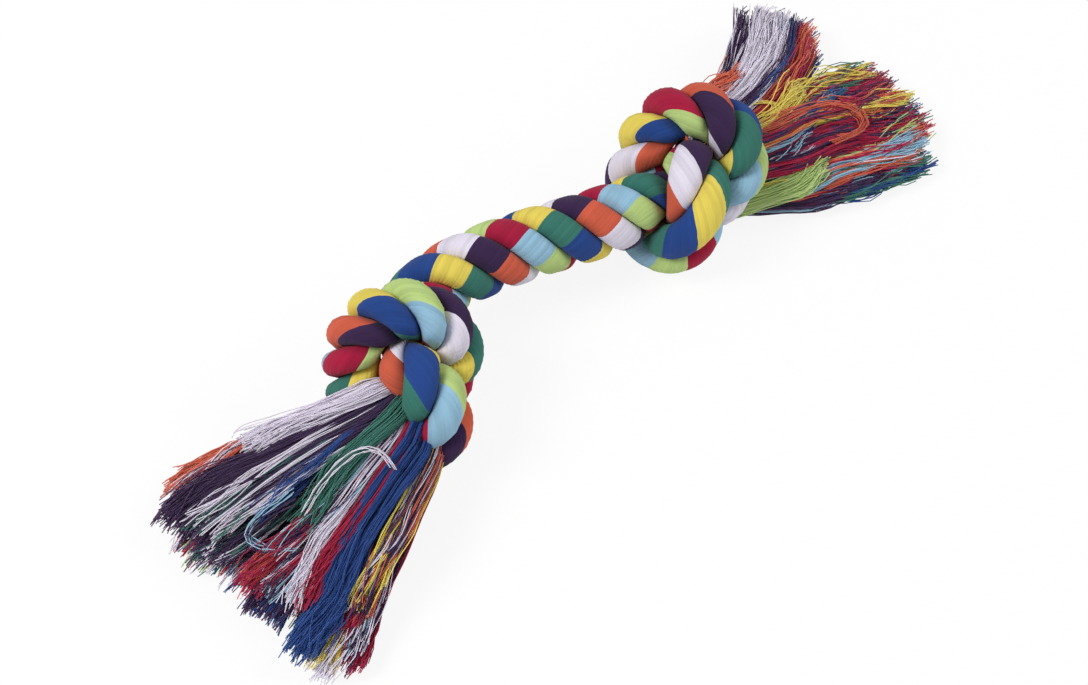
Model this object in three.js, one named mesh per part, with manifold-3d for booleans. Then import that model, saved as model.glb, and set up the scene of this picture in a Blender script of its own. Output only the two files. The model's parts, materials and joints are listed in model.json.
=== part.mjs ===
// Rope dog toy: one length of thick three-strand cotton rope with an overhand knot near each end,
// and both cut ends combed out into tassels. Millimetres, +Z up, the rope along X, the floor at Z 0.
import * as THREE from "three";
import { mergeVertices } from "three/addons/utils/BufferGeometryUtils.js";
import Module from "manifold-3d";

// Rope
const ROPE_DIAMETER = 22;
const LAY_LENGTH = 37; // of rope for one turn of its strands, between the knots
const STRAND_GAP = 0.3; // between two neighbouring strands
const END_GAP = 0.3; // between two stretches of one strand

// Knots
const KNOT_SPACING = 113; // between the middles of the two knots
const PASS_SPACING = 13.6; // between two passes pressed together in a knot
const BEND_RADIUS = 9.2; // of the rope's tightest bend
const PASS_GAP = 0.5; // between two passes, surface to surface
const KNOT_ROLL = 23; // degrees about the rope, front towards -Y
const LEFT_KNOT_TURN = 25; // degrees about the knot's front
const RIGHT_KNOT_TURN = -5;
const LEFT_KNOT_LAYS = [42, 26]; // knotting unwinds the rope in one pass and winds it up in the next
const RIGHT_KNOT_LAYS = [30, 58];
const LEFT_LAY_CHANGE = 77; // of rope from its middle to where one lay of a knot becomes the other
const RIGHT_LAY_CHANGE = 121;
const LAY_CHANGE_LENGTH = 30;
const KNOT_REACH = 20; // along the rope, from a knot's middle to where the rope leaves it
const BEND_REACH = 20; // how far the rope keeps the direction in which it leaves a knot
const FLAT_DEPTH = 2.2; // the rope gives this much where a knot rests on the floor

// Stretches that bend
const MIDDLE_LENGTH = 30; // of rope that bends between the knots
const TAIL_REACH = 22; // from a knot's middle to its neck
const NECK_LENGTH = 9.4; // of rope that bends between a knot and its tassel

// Tassels
const LEFT_TASSEL_LENGTH = 52;
const RIGHT_TASSEL_LENGTH = 46;
const LEFT_TASSEL_WIDTH = 76; // across the cut ends
const RIGHT_TASSEL_WIDTH = 84;
const LEFT_TASSEL_SHIFT = -8; // of the cut ends, to the left as the tassel runs
const RIGHT_TASSEL_SHIFT = 0;
const TASSEL_THICKNESS = 10; // at the cut ends, two layers of locks
const LOCK_GAP = 0.5; // between two locks of yarn
const TIP_STEP = 3; // between a longer lock and a shorter one

// A strand's section, as shares of the rope's radius: an oval about the strand's own middle
const STRAND_MIDDLE = 0.54;
const STRAND_DEPTH = 0.46;
const FREE_STRAND_WIDTH = 0.71;
const KNOT_STRAND_WIDTH = 0.58; // a strand is rounder where the lay is longer
const FIRST_STRAND_ANGLE = 283; // degrees from the top, at the rope's middle

// The overhand knot before it is drawn tight, in rope diameters: X along the rope, Y across it,
// Z towards the knot's front
const KNOT_ROUTE = [
  [-1.25, 0, 0.05],
  [-0.4, -0.2, -0.1],
  [0.4, -0.5, -0.45],
  [0.9, -0.45, -0.1],
  [1.05, 0.1, 0.3],
  [0.7, 0.8, 0.5],
  [-0.05, 1.1, 0.3],
  [-0.6, 0.75, -0.25],
  [-0.7, 0.1, -0.8],
  [-0.5, -0.6, -0.8],
  [-0.3, -1.25, -0.25],
  [-0.2, -1.1, 0.5],
  [-0.2, -0.4, 0.8],
  [-0.05, 0.4, 0.45],
  [0.25, 0.55, -0.4],
  [1, 0.4, -0.7],
  [1.75, 0.1, -0.5],
];

// Fineness
const SETTLE_POINTS = 140;
const SETTLE_ROUNDS = 1000;
const SMOOTH_ROUNDS = 6;
const SAMPLE_STEP = 0.5;
const RING_STEP = 3;
const LOBE_POINTS = 7;
const LOCK_RINGS = 8;
const SPREAD_POWER = 4; // how soon a tassel gets its full width

const ROPE_RADIUS = ROPE_DIAMETER / 2;
const UP = new THREE.Vector3(0, 0, 1);
const STRANDS = ["a", "b", "c"];
const THIRD_TURN = (2 * Math.PI) / 3;
const radians = THREE.MathUtils.degToRad;
const { lerp, smoothstep } = THREE.MathUtils;

const YARN_COLOURS = {
  yellow: 0xe4cd55,
  green: 0x3c7869,
  blue: 0x28468c,
  red: 0xb41946,
  light_blue: 0x9bbed7,
  lime: 0xafcd73,
  purple: 0x462d5f,
  orange: 0xcd5f46,
  white: 0xd7d0e1,
};
const STRAND_COLOURS = {
  a: YARN_COLOURS.yellow,
  b: YARN_COLOURS.red,
  c: YARN_COLOURS.purple,
};

const wasm = await Module();
wasm.setup();

const toy = new THREE.Group();

function addPiece(parent, name, geometry, colour) {
  const material = new THREE.MeshStandardMaterial({ color: colour, roughness: 0.95, metalness: 0 });
  const mesh = new THREE.Mesh(geometry, material);
  mesh.name = name;
  parent.add(mesh);
}

// Lengths along a line of points, from its first point
function lengthsAlong(points) {
  const lengths = [0];
  for (let i = 1; i < points.length; i++) {
    lengths.push(lengths[i - 1] + points[i].distanceTo(points[i - 1]));
  }
  return lengths;
}

// The same line with evenly spaced points
function spaced(points, count) {
  const lengths = lengthsAlong(points);
  const total = lengths[lengths.length - 1];
  const result = [];
  let k = 0;
  for (let i = 0; i < count; i++) {
    const at = (total * i) / (count - 1);
    while (k < points.length - 2 && lengths[k + 1] < at) k++;
    const share = (at - lengths[k]) / (lengths[k + 1] - lengths[k]);
    result.push(points[k].clone().lerp(points[k + 1], share));
  }
  return result;
}

// How far apart two points of the rope must stay, given the rope's length between them
function leastDistance(along) {
  const half = Math.min(along / (2 * BEND_RADIUS), Math.PI / 2);
  return Math.min(PASS_SPACING, 2 * BEND_RADIUS * Math.sin(half));
}

// Draw the knot tight: each point is pulled towards its neighbours' middle, and two points that
// come too close push each other away
function drawnTight() {
  const half = KNOT_SPACING / 2;
  const laid = KNOT_ROUTE.map((p) => new THREE.Vector3(...p).multiplyScalar(ROPE_DIAMETER));
  laid.unshift(new THREE.Vector3(-half, 0, 0));
  laid.push(new THREE.Vector3(half, 0, 0));
  const points = spaced(laid, SETTLE_POINTS);
  const away = new THREE.Vector3();
  for (let round = 0; round < SETTLE_ROUNDS; round++) {
    const step = lengthsAlong(points).at(-1) / (SETTLE_POINTS - 1);
    const pushes = points.map(() => new THREE.Vector3());
    const counts = points.map(() => 0);
    for (let i = 0; i < SETTLE_POINTS; i++) {
      for (let j = i + 2; j < SETTLE_POINTS; j++) {
        away.subVectors(points[i], points[j]);
        const distance = away.length();
        const short = leastDistance((j - i) * step) - distance;
        if (short <= 0) continue;
        away.multiplyScalar(short / distance);
        pushes[i].add(away);
        pushes[j].sub(away);
        counts[i]++;
        counts[j]++;
      }
    }
    const pulls = points.map((p, i) => {
      if (i === 0 || i === SETTLE_POINTS - 1) return new THREE.Vector3();
      return points[i - 1].clone().add(points[i + 1]).multiplyScalar(0.5).sub(p);
    });
    for (let i = 1; i < SETTLE_POINTS - 1; i++) {
      points[i].addScaledVector(pushes[i], 0.5 / Math.max(counts[i], 1));
      points[i].addScaledVector(pulls[i], 0.5);
    }
  }
  return points;
}

// Cut the tail off at the far end of its neck; the tail runs along X, on the side of sign
function tailCut(points, sign) {
  const end = TAIL_REACH + NECK_LENGTH;
  const line = sign < 0 ? points : points.toReversed();
  const first = line.findIndex((p) => p.x * sign < end);
  const share = (end - line[first].x * sign) / ((line[first - 1].x - line[first].x) * sign);
  const kept = [line[first].clone().lerp(line[first - 1], share), ...line.slice(first)];
  return sign < 0 ? kept : kept.reverse();
}

// Turn a knot about its front, roll it about the rope and set it down on the floor
function placed(points, sign, turn) {
  const set = points.map((p) => {
    const turned = p.clone().applyAxisAngle(UP, radians(turn));
    return turned.applyAxisAngle(new THREE.Vector3(1, 0, 0), radians(KNOT_ROLL));
  });
  const lowest = Math.min(...set.map((p) => p.z));
  const side = new THREE.Vector3((sign * KNOT_SPACING) / 2, 0, ROPE_RADIUS - FLAT_DEPTH - lowest);
  return set.map((p) => p.add(side));
}

// The rope's middle line from the left tassel to the right one: two knots and a smooth bend between
function middleLine() {
  const knot = drawnTight();
  const leftRoute = knot.slice(0, knot.findLastIndex((p) => p.x < KNOT_REACH) + 1);
  const rightRoute = knot.slice(knot.findIndex((p) => p.x > -KNOT_REACH));
  const left = placed(tailCut(leftRoute, -1), -1, LEFT_KNOT_TURN);
  const right = placed(tailCut(rightRoute, 1), 1, RIGHT_KNOT_TURN);
  const leaving = left.at(-1).clone().sub(left.at(-2)).setLength(BEND_REACH);
  const arriving = right[1].clone().sub(right[0]).setLength(BEND_REACH);
  const between = new THREE.CubicBezierCurve3(
    left.at(-1),
    left.at(-1).clone().add(leaving),
    right[0].clone().sub(arriving),
    right[0],
  );
  const steps = Math.round(between.getLength() / left.at(-1).distanceTo(left.at(-2)));
  let points = [...left, ...between.getSpacedPoints(steps).slice(1, -1), ...right];
  for (let round = 0; round < SMOOTH_ROUNDS; round++) {
    points = points.map((p, i) => {
      if (i === 0 || i === points.length - 1) return p;
      const middle = points[i - 1].clone().add(points[i + 1]).multiplyScalar(0.5);
      return p.clone().lerp(middle, 0.5);
    });
  }
  const total = lengthsAlong(points).at(-1);
  return spaced(points, Math.round(total / SAMPLE_STEP) + 1);
}

// The share of a knot's own lay, by the rope's length from its middle: 0 there, 1 in the knots
function knotShare(fromMiddle) {
  return smoothstep(Math.abs(fromMiddle), 1.4 * ROPE_DIAMETER, 2 * ROPE_DIAMETER);
}

// Turns of the strands for each millimetre of rope, by its length from the middle
function turnRate(fromMiddle) {
  const [nearLay, farLay] = fromMiddle < 0 ? LEFT_KNOT_LAYS : RIGHT_KNOT_LAYS;
  const change = fromMiddle < 0 ? LEFT_LAY_CHANGE : RIGHT_LAY_CHANGE;
  const half = LAY_CHANGE_LENGTH / 2;
  const far = smoothstep(Math.abs(fromMiddle), change - half, change + half);
  return lerp(1 / LAY_LENGTH, lerp(1 / nearLay, 1 / farLay, far), knotShare(fromMiddle));
}

// The rope as samples with a frame that doesn't twist, and the angle of the first strand in it
function layRope(line) {
  const lengths = lengthsAlong(line);
  const distances = line.map((p) => Math.hypot(p.x, p.y));
  const middle = distances.indexOf(Math.min(...distances));
  const samples = line.map((centre, i) => {
    const before = line[Math.max(i - 1, 0)];
    const after = line[Math.min(i + 1, line.length - 1)];
    const tangent = after.clone().sub(before).normalize();
    const fromMiddle = lengths[i] - lengths[middle];
    const [share, turns] = [knotShare(fromMiddle), turnRate(fromMiddle)];
    return { centre, tangent, along: lengths[i], share, turns };
  });
  const setFrame = (sample, normal) => {
    const flat = normal.clone().addScaledVector(sample.tangent, -normal.dot(sample.tangent));
    sample.normal = flat.normalize();
    sample.binormal = sample.tangent.clone().cross(sample.normal);
  };
  const turnBetween = (a, b) => Math.PI * (a.turns + b.turns) * (b.along - a.along);
  setFrame(samples[middle], UP);
  samples[middle].angle = radians(FIRST_STRAND_ANGLE);
  for (let i = middle + 1; i < samples.length; i++) {
    setFrame(samples[i], samples[i - 1].normal);
    samples[i].angle = samples[i - 1].angle + turnBetween(samples[i - 1], samples[i]);
  }
  for (let i = middle - 1; i >= 0; i--) {
    setFrame(samples[i], samples[i + 1].normal);
    samples[i].angle = samples[i + 1].angle + turnBetween(samples[i + 1], samples[i]);
  }
  return { samples, middleAlong: samples[middle].along, total: lengths.at(-1) };
}

const rope = layRope(middleLine());

// The rope's frame at any length along it
function frameAt(along) {
  const place = Math.min(along / (rope.total / (rope.samples.length - 1)), rope.samples.length - 1.001);
  const a = rope.samples[Math.floor(place)];
  const b = rope.samples[Math.floor(place) + 1];
  const share = place - Math.floor(place);
  return {
    along,
    centre: a.centre.clone().lerp(b.centre, share),
    tangent: a.tangent.clone().lerp(b.tangent, share).normalize(),
    normal: a.normal.clone().lerp(b.normal, share).normalize(),
    binormal: a.binormal.clone().lerp(b.binormal, share).normalize(),
    angle: lerp(a.angle, b.angle, share),
    share: lerp(a.share, b.share, share),
  };
}

// How far the rope reaches from its middle line before it meets another pass, halfway to that pass
function roomTowards(frame, direction) {
  const apart = new THREE.Vector3();
  const skip = 4;
  let room = Infinity;
  for (let j = 0; j < rope.samples.length; j += skip) {
    const other = rope.samples[j];
    if (Math.abs(other.along - frame.along) < 0.3 * ROPE_DIAMETER) continue;
    apart.subVectors(other.centre, frame.centre);
    const distance = apart.length();
    const facing = apart.dot(direction) / distance;
    if (distance > 2.2 * ROPE_RADIUS || facing < 0.01) continue;
    room = Math.min(room, (distance - PASS_GAP) / 2 / facing);
  }
  return room;
}

// The strand's outer edge in the rope's section: the oval's far side, seen from the rope's middle
function lobeRadius(offset, share) {
  const width = lerp(FREE_STRAND_WIDTH, KNOT_STRAND_WIDTH, share);
  const across = Math.cos(offset) / STRAND_DEPTH;
  const beside = Math.sin(offset) / width;
  const square = across * across + beside * beside;
  const half = (across * STRAND_MIDDLE) / STRAND_DEPTH;
  const rest = (STRAND_MIDDLE / STRAND_DEPTH) ** 2 - 1;
  return (ROPE_RADIUS * (half + Math.sqrt(half * half - square * rest))) / square;
}

// One strand's section at a place on the rope: its inner edge, then its outer edge from side to side
function strandRing(along, strand) {
  const frame = frameAt(along);
  const crest = frame.angle + strand * THIRD_TURN;
  const softness = 7;
  const pointAt = (offset, radius) => {
    const angle = crest + offset;
    const direction = frame.normal.clone().multiplyScalar(Math.cos(angle));
    direction.addScaledVector(frame.binormal, Math.sin(angle));
    const room = roomTowards(frame, direction);
    const pressed = radius / (1 + (radius / room) ** softness) ** (1 / softness);
    return frame.centre.clone().addScaledVector(direction, pressed);
  };
  const sideRadius = lobeRadius(THIRD_TURN / 2, frame.share);
  const edge = THIRD_TURN / 2 - Math.asin(STRAND_GAP / 2 / sideRadius);
  const ring = [pointAt(0, STRAND_GAP / 2 / Math.sin(THIRD_TURN / 2))];
  for (let k = 0; k < LOBE_POINTS; k++) {
    const offset = lerp(-edge, edge, k / (LOBE_POINTS - 1));
    ring.push(pointAt(offset, lobeRadius(offset, frame.share)));
  }
  return ring;
}

// A closed solid through rings of equal counts; the last side's faces are split the other way, so
// that two neighbouring strands are split alike where they face each other
function loft(rings) {
  const count = rings[0].length;
  const positions = rings.flat().flatMap((p) => [p.x, p.y, p.z]);
  const faces = [];
  for (let i = 0; i + 1 < rings.length; i++) {
    for (let j = 0; j < count; j++) {
      const next = (j + 1) % count;
      const a = i * count + j;
      const b = i * count + next;
      const c = a + count;
      const d = b + count;
      if (next === 0) faces.push(a, b, c, b, d, c);
      else faces.push(a, b, d, a, d, c);
    }
  }
  const last = (rings.length - 1) * count;
  for (let j = 1; j + 1 < count; j++) {
    faces.push(0, j + 1, j);
    faces.push(last, last + j, last + j + 1);
  }
  const geometry = new THREE.BufferGeometry();
  geometry.setAttribute("position", new THREE.Float32BufferAttribute(positions, 3));
  geometry.setIndex(faces);
  return geometry;
}

function solidOf(geometry) {
  const bare = new THREE.BufferGeometry();
  bare.setAttribute("position", geometry.getAttribute("position"));
  bare.setIndex(geometry.index);
  const merged = mergeVertices(bare);
  const vertProperties = new Float32Array(merged.getAttribute("position").array);
  const triVerts = new Uint32Array(merged.index.array);
  return new wasm.Manifold(new wasm.Mesh({ numProp: 3, vertProperties, triVerts }));
}

// The part of a solid above the floor
function restingOnFloor(geometry) {
  const size = 4 * KNOT_SPACING;
  const space = new THREE.BoxGeometry(size, size, size).translate(0, 0, size / 2);
  space.deleteAttribute("normal");
  space.deleteAttribute("uv");
  const mesh = solidOf(geometry).intersect(solidOf(space)).getMesh();
  const cut = new THREE.BufferGeometry();
  cut.setAttribute("position", new THREE.Float32BufferAttribute(mesh.vertProperties, 3));
  cut.setIndex([...mesh.triVerts]);
  return cut;
}

// One strand of a stretch of rope; a tassel's end of a neck is cut square to the tassel
function strandSolid(start, end, strand, squareEnd) {
  const steps = Math.ceil((end - start) / RING_STEP);
  const rings = [];
  for (let i = 0; i <= steps; i++) rings.push(strandRing(lerp(start, end, i / steps), strand));
  if (squareEnd) {
    const ring = squareEnd.first ? rings[0] : rings.at(-1);
    const lean = squareEnd.frame.tangent.dot(squareEnd.heading);
    for (const p of ring) {
      const off = squareEnd.frame.centre.clone().sub(p).dot(squareEnd.heading);
      p.addScaledVector(squareEnd.frame.tangent, off / lean);
    }
  }
  return loft(rings);
}

// Where the rope ends in a tassel, and the level direction that the tassel takes
function tasselEnd(first) {
  const frame = frameAt(first ? 0 : rope.total);
  const heading = frame.tangent.clone().multiplyScalar(first ? -1 : 1).setZ(0).normalize();
  return { first, frame, heading };
}

const leftEnd = tasselEnd(true);
const rightEnd = tasselEnd(false);

// The rope's five stretches, strand by strand
function addStretches() {
  const middle = rope.middleAlong;
  const half = MIDDLE_LENGTH / 2;
  const cuts = [0, NECK_LENGTH, middle - half, middle + half, rope.total - NECK_LENGTH, rope.total];
  const names = ["left_neck", "left_knot", "middle", "right_knot", "right_neck"];
  const squareEnds = { left_neck: leftEnd, right_neck: rightEnd };
  names.forEach((name, i) => {
    const start = cuts[i] + (i > 0 ? END_GAP / 2 : 0);
    const end = cuts[i + 1] - (i + 1 < names.length ? END_GAP / 2 : 0);
    STRANDS.forEach((letter, strand) => {
      const solid = strandSolid(start, end, strand, squareEnds[name]);
      const geometry = name.endsWith("knot") ? restingOnFloor(solid) : solid;
      addPiece(toy, `${name}_strand_${letter}`, geometry, STRAND_COLOURS[letter]);
    });
  });
}

// The tassel's section at a distance from its root: a square in the rope's end, which soon spreads
// and slowly gets flatter, down to the floor
function tasselSection(distance, tassel) {
  const share = distance / tassel.length;
  const spread = 1 - (1 - share) ** SPREAD_POWER;
  const rootHalf = 0.7 * ROPE_RADIUS;
  const halfWidth = lerp(rootHalf, tassel.width / 2, spread);
  const halfHeight = lerp(rootHalf, TASSEL_THICKNESS / 2, share);
  const bottom = (tassel.rootHeight - rootHalf) * (1 - smoothstep(share, 0, 1));
  return { halfWidth, halfHeight, side: tassel.shift * spread, middle: bottom + halfHeight };
}

// One lock of yarn: an eight-sided cell of the tassel's section, carried along the tassel
function lockSolid(cell, lockLength, tassel) {
  const steps = [END_GAP];
  for (let i = 1; i <= LOCK_RINGS; i++) {
    const distance = tassel.length * (i / LOCK_RINGS) ** 1.5;
    if (distance < lockLength - TIP_STEP / 2) steps.push(distance);
  }
  steps.push(lockLength);
  const corner = 0.5;
  const outline = [
    [1, -corner],
    [1, corner],
    [corner, 1],
    [-corner, 1],
    [-1, corner],
    [-1, -corner],
    [-corner, -1],
    [corner, -1],
  ];
  const rings = steps.map((distance) => {
    const section = tasselSection(distance, tassel);
    const halfWidth = section.halfWidth / cell.across - LOCK_GAP / 2;
    const halfHeight = section.halfHeight / 2 - LOCK_GAP / 2;
    return outline.map(([u, v]) => {
      const side = section.side + section.halfWidth * cell.side + u * halfWidth;
      const height = section.middle + section.halfHeight * cell.height + v * halfHeight;
      return new THREE.Vector3(distance, side, height);
    });
  });
  return loft(rings);
}

// A tassel: an upper and a lower layer of locks, named from the tassel's left to its right
function addTassel(name, end, size, layers) {
  const tassel = { ...size, rootHeight: end.frame.centre.z };
  const group = new THREE.Group();
  group.position.set(end.frame.centre.x, end.frame.centre.y, 0);
  group.rotation.z = Math.atan2(end.heading.y, end.heading.x);
  layers.forEach((colours, layer) => {
    colours.forEach((colour, i) => {
      const side = 1 - (2 * i + 1) / colours.length;
      const cell = { side, across: colours.length, height: layer === 0 ? 0.5 : -0.5 };
      const rounding = (tassel.length * side * side) / 4;
      const lockLength = tassel.length - rounding - TIP_STEP * ((i + layer) % 2);
      const solid = lockSolid(cell, lockLength, tassel);
      addPiece(group, `${name}_${colour}`, solid, YARN_COLOURS[colour]);
    });
  });
  toy.add(group);
}

addStretches();
const leftSize = { length: LEFT_TASSEL_LENGTH, width: LEFT_TASSEL_WIDTH, shift: LEFT_TASSEL_SHIFT };
const rightSize = { length: RIGHT_TASSEL_LENGTH, width: RIGHT_TASSEL_WIDTH, shift: RIGHT_TASSEL_SHIFT };
addTassel("left_tassel", leftEnd, leftSize, [
  ["blue", "green", "purple", "white"],
  ["yellow", "lime", "red", "light_blue", "orange"],
]);
addTassel("right_tassel", rightEnd, rightSize, [
  ["white", "red", "yellow", "blue"],
  ["purple", "orange", "green", "light_blue", "lime"],
]);

// The origin is under the middle of the toy's box, on the floor
const box = new THREE.Box3().setFromObject(toy, true);
const centre = box.getCenter(new THREE.Vector3());
toy.position.set(-centre.x, -centre.y, 0);

const part = new THREE.Group();
part.add(toy);
export default part;
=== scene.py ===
# %% [markdown]
# # A knotted rope toy for dogs
# The toy is one length of thick cotton rope. Three strands are laid round each other, each strand is
# twisted from yarn of three colours, an overhand knot sits near each end, and beyond the knots the
# rope is combed out into tassels. The CAD model gives the frame: where the rope runs, how thick it is
# and which bodies move. This lesson dresses it: first the rope's own line, then the strands that wind
# round it, then the yarn of the tassels, and last the light.

# %% The tools, and the CAD model as a fixed frame
import json
import math

import bmesh
import bpy
import numpy as np
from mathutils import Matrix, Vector


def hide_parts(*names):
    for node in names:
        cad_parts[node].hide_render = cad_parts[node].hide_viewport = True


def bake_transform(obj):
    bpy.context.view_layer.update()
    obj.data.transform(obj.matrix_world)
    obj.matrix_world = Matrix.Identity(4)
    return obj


MM_PER_METRE = 1000

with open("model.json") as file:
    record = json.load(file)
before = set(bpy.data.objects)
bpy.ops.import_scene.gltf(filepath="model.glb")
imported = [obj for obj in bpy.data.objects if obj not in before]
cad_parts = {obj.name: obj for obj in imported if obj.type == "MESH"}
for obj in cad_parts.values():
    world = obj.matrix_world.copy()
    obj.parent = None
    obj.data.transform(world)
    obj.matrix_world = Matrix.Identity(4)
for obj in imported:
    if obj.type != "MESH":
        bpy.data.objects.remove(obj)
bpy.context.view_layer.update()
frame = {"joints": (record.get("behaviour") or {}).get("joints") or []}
hinge = {joint["name"]: np.array(joint["pos_m"]) * MM_PER_METRE for joint in frame["joints"]}

# %% [markdown]
# ## The camera
# The photograph looks steeply down on the toy, from the front and from the left, with a long lens. The
# camera comes first, because everything after it is judged through it. One known place, the middle of
# the rope, is put on the pixel where the photograph shows it, and the view's direction is given by two
# angles, so no lens shift is needed.

# %% A camera at the photograph's viewing angle
PHOTO_SIZE = (1088, 685)
SENSOR_WIDTH = 36
VIEW_AZIMUTH = math.radians(-41)
VIEW_ELEVATION = math.radians(60)
VIEW_DISTANCE = 0.78
METRES_PER_PIXEL = 0.000305
ROPE_HEIGHT = 0.022
ROPE_PIXEL = (537.5, 274.5)


def add_camera(rope_middle):
    """A camera that sees rope_middle at ROPE_PIXEL."""
    data = bpy.data.cameras.new("camera")
    data.sensor_width = SENSOR_WIDTH
    data.lens = SENSOR_WIDTH * VIEW_DISTANCE / METRES_PER_PIXEL / PHOTO_SIZE[0]
    camera = bpy.data.objects.new("camera", data)
    bpy.context.collection.objects.link(camera)
    flat = math.cos(VIEW_ELEVATION)
    back = Vector((math.sin(VIEW_AZIMUTH) * flat, -math.cos(VIEW_AZIMUTH) * flat, math.sin(VIEW_ELEVATION)))
    right = Vector((math.cos(VIEW_AZIMUTH), math.sin(VIEW_AZIMUTH), 0))
    up = back.cross(right)
    across = (ROPE_PIXEL[0] - PHOTO_SIZE[0] / 2) * METRES_PER_PIXEL
    above = (PHOTO_SIZE[1] / 2 - ROPE_PIXEL[1]) * METRES_PER_PIXEL
    camera.location = rope_middle - across * right - above * up + VIEW_DISTANCE * back
    camera.rotation_euler = back.to_track_quat("Z", "Y").to_euler()
    bpy.context.scene.camera = camera
    return camera


# The rope's own frame has its origin between the knots, and the CAD model stands a little off it
HINGE_IN_ROPE = np.array([2.502, 8.358])
ROPE_OFFSET = np.append(hinge["rope_bend"][:2] - HINGE_IN_ROPE, 0)
rope_spot = ROPE_OFFSET / MM_PER_METRE
camera = add_camera(Vector((rope_spot[0], rope_spot[1], ROPE_HEIGHT)))
print("camera lens", round(camera.data.lens, 1), "mm")

# %% [markdown]
# ## The knot
# An overhand knot is a loop with the end led through it. Drawing its tight shape by hand is hopeless,
# because every pass presses on the next. So a slack knot is laid by a few points and then pulled: each
# point moves towards the middle of its neighbours, as a rope under tension does, and any two points
# that come closer than the rope allows push each other away. A cloth simulation could do this too, but
# a dozen lines of arithmetic give the same result on every run.

# %% A slack overhand knot, drawn tight (millimetres)
ROPE_DIAMETER = 22.0
ROPE_RADIUS = ROPE_DIAMETER / 2
KNOT_SPACING = 113.0
PASS_SPACING = 13.6
BEND_RADIUS = 9.2
SETTLE_POINTS = 140
SETTLE_ROUNDS = 1000
PUSH_SHARE = 0.5
PULL_SHARE = 0.5
# The slack knot's course, in rope diameters from its middle
KNOT_ROUTE = np.array(
    [
        (-1.25, 0, 0.05),
        (-0.4, -0.2, -0.1),
        (0.4, -0.5, -0.45),
        (0.9, -0.45, -0.1),
        (1.05, 0.1, 0.3),
        (0.7, 0.8, 0.5),
        (-0.05, 1.1, 0.3),
        (-0.6, 0.75, -0.25),
        (-0.7, 0.1, -0.8),
        (-0.5, -0.6, -0.8),
        (-0.3, -1.25, -0.25),
        (-0.2, -1.1, 0.5),
        (-0.2, -0.4, 0.8),
        (-0.05, 0.4, 0.45),
        (0.25, 0.55, -0.4),
        (1, 0.4, -0.7),
        (1.75, 0.1, -0.5),
    ]
)


def lengths_along(points):
    """Length along a line of points, from its first point."""
    steps = np.linalg.norm(np.diff(points, axis=0), axis=1)
    return np.concatenate([[0], np.cumsum(steps)])


def spaced(points, count):
    """The same line with evenly spaced points."""
    lengths = lengths_along(points)
    at = np.linspace(0, lengths[-1], count)
    return np.stack([np.interp(at, lengths, points[:, k]) for k in range(3)], axis=1)


def drawn_tight():
    """The knot's middle line after the slack is pulled out of it."""
    half = KNOT_SPACING / 2
    laid = np.vstack([(-half, 0, 0), KNOT_ROUTE * ROPE_DIAMETER, (half, 0, 0)])
    points = spaced(laid, SETTLE_POINTS)
    order = np.arange(SETTLE_POINTS)
    steps_apart = np.abs(order[:, None] - order[None, :])
    for _ in range(SETTLE_ROUNDS):
        along = steps_apart * lengths_along(points)[-1] / (SETTLE_POINTS - 1)
        # Points close to each other on the rope may be as near as the tightest bend brings them
        bend = 2 * BEND_RADIUS * np.sin(np.minimum(along / (2 * BEND_RADIUS), math.pi / 2))
        least = np.where(steps_apart < 2, 0, np.minimum(PASS_SPACING, bend))
        away = points[:, None] - points[None, :]
        distance = np.linalg.norm(away, axis=2) + np.eye(SETTLE_POINTS)
        short = np.maximum(least - distance, 0)
        pushes = (away * (short / distance)[..., None]).sum(axis=1)
        counts = np.maximum((short > 0).sum(axis=1), 1)
        pulls = (points[:-2] + points[2:]) / 2 - points[1:-1]
        points[1:-1] += PUSH_SHARE * (pushes / counts[:, None])[1:-1] + PULL_SHARE * pulls
    return points


tight_knot = drawn_tight()
print("rope in one knot:", round(lengths_along(tight_knot)[-1]), "mm over", KNOT_SPACING, "mm")

# %% [markdown]
# ## The rope's line
# Both knots are the same knot. Each is turned about its front, rolled towards the viewer and set down
# on the floor, and a smooth curve joins them. The rope gives a little where a knot rests on the floor,
# so the line starts lower than the rope's radius.

# %% Two knots and the bend between them
KNOT_ROLL = 23
KNOT_TURN = {-1: 25, 1: -5}
KNOT_REACH = 20.0
BEND_REACH = 20.0
FLAT_DEPTH = 2.2
TAIL_REACH = 22.0
NECK_LENGTH = 9.4
BEND_POINTS = 400
SMOOTH_ROUNDS = 6
SAMPLE_STEP = 0.5


def smoothed(points, rounds):
    """A line of points with its corners rounded off; its ends stay."""
    for _ in range(rounds):
        points[1:-1] = points[1:-1] / 2 + (points[:-2] + points[2:]) / 4
    return points


def tail_cut(points, sign):
    """Cut the knot's tail off at the far end of its neck; the tail lies on the side of sign."""
    end = TAIL_REACH + NECK_LENGTH
    line = points if sign < 0 else points[::-1]
    first = np.argmax(line[:, 0] * sign < end)
    share = (end - line[first, 0] * sign) / ((line[first - 1, 0] - line[first, 0]) * sign)
    cut = line[first] + share * (line[first - 1] - line[first])
    kept = np.vstack([cut, line[first:]])
    return kept if sign < 0 else kept[::-1]


def placed(points, sign):
    """A knot turned, rolled and set down on the floor at its end of the rope."""
    turn, roll = math.radians(KNOT_TURN[sign]), math.radians(KNOT_ROLL)
    x = points[:, 0] * math.cos(turn) - points[:, 1] * math.sin(turn)
    y = points[:, 0] * math.sin(turn) + points[:, 1] * math.cos(turn)
    tilted_y = y * math.cos(roll) - points[:, 2] * math.sin(roll)
    tilted_z = y * math.sin(roll) + points[:, 2] * math.cos(roll)
    lift = ROPE_RADIUS - FLAT_DEPTH - tilted_z.min()
    return np.stack([x + sign * KNOT_SPACING / 2, tilted_y, tilted_z + lift], axis=1)


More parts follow.
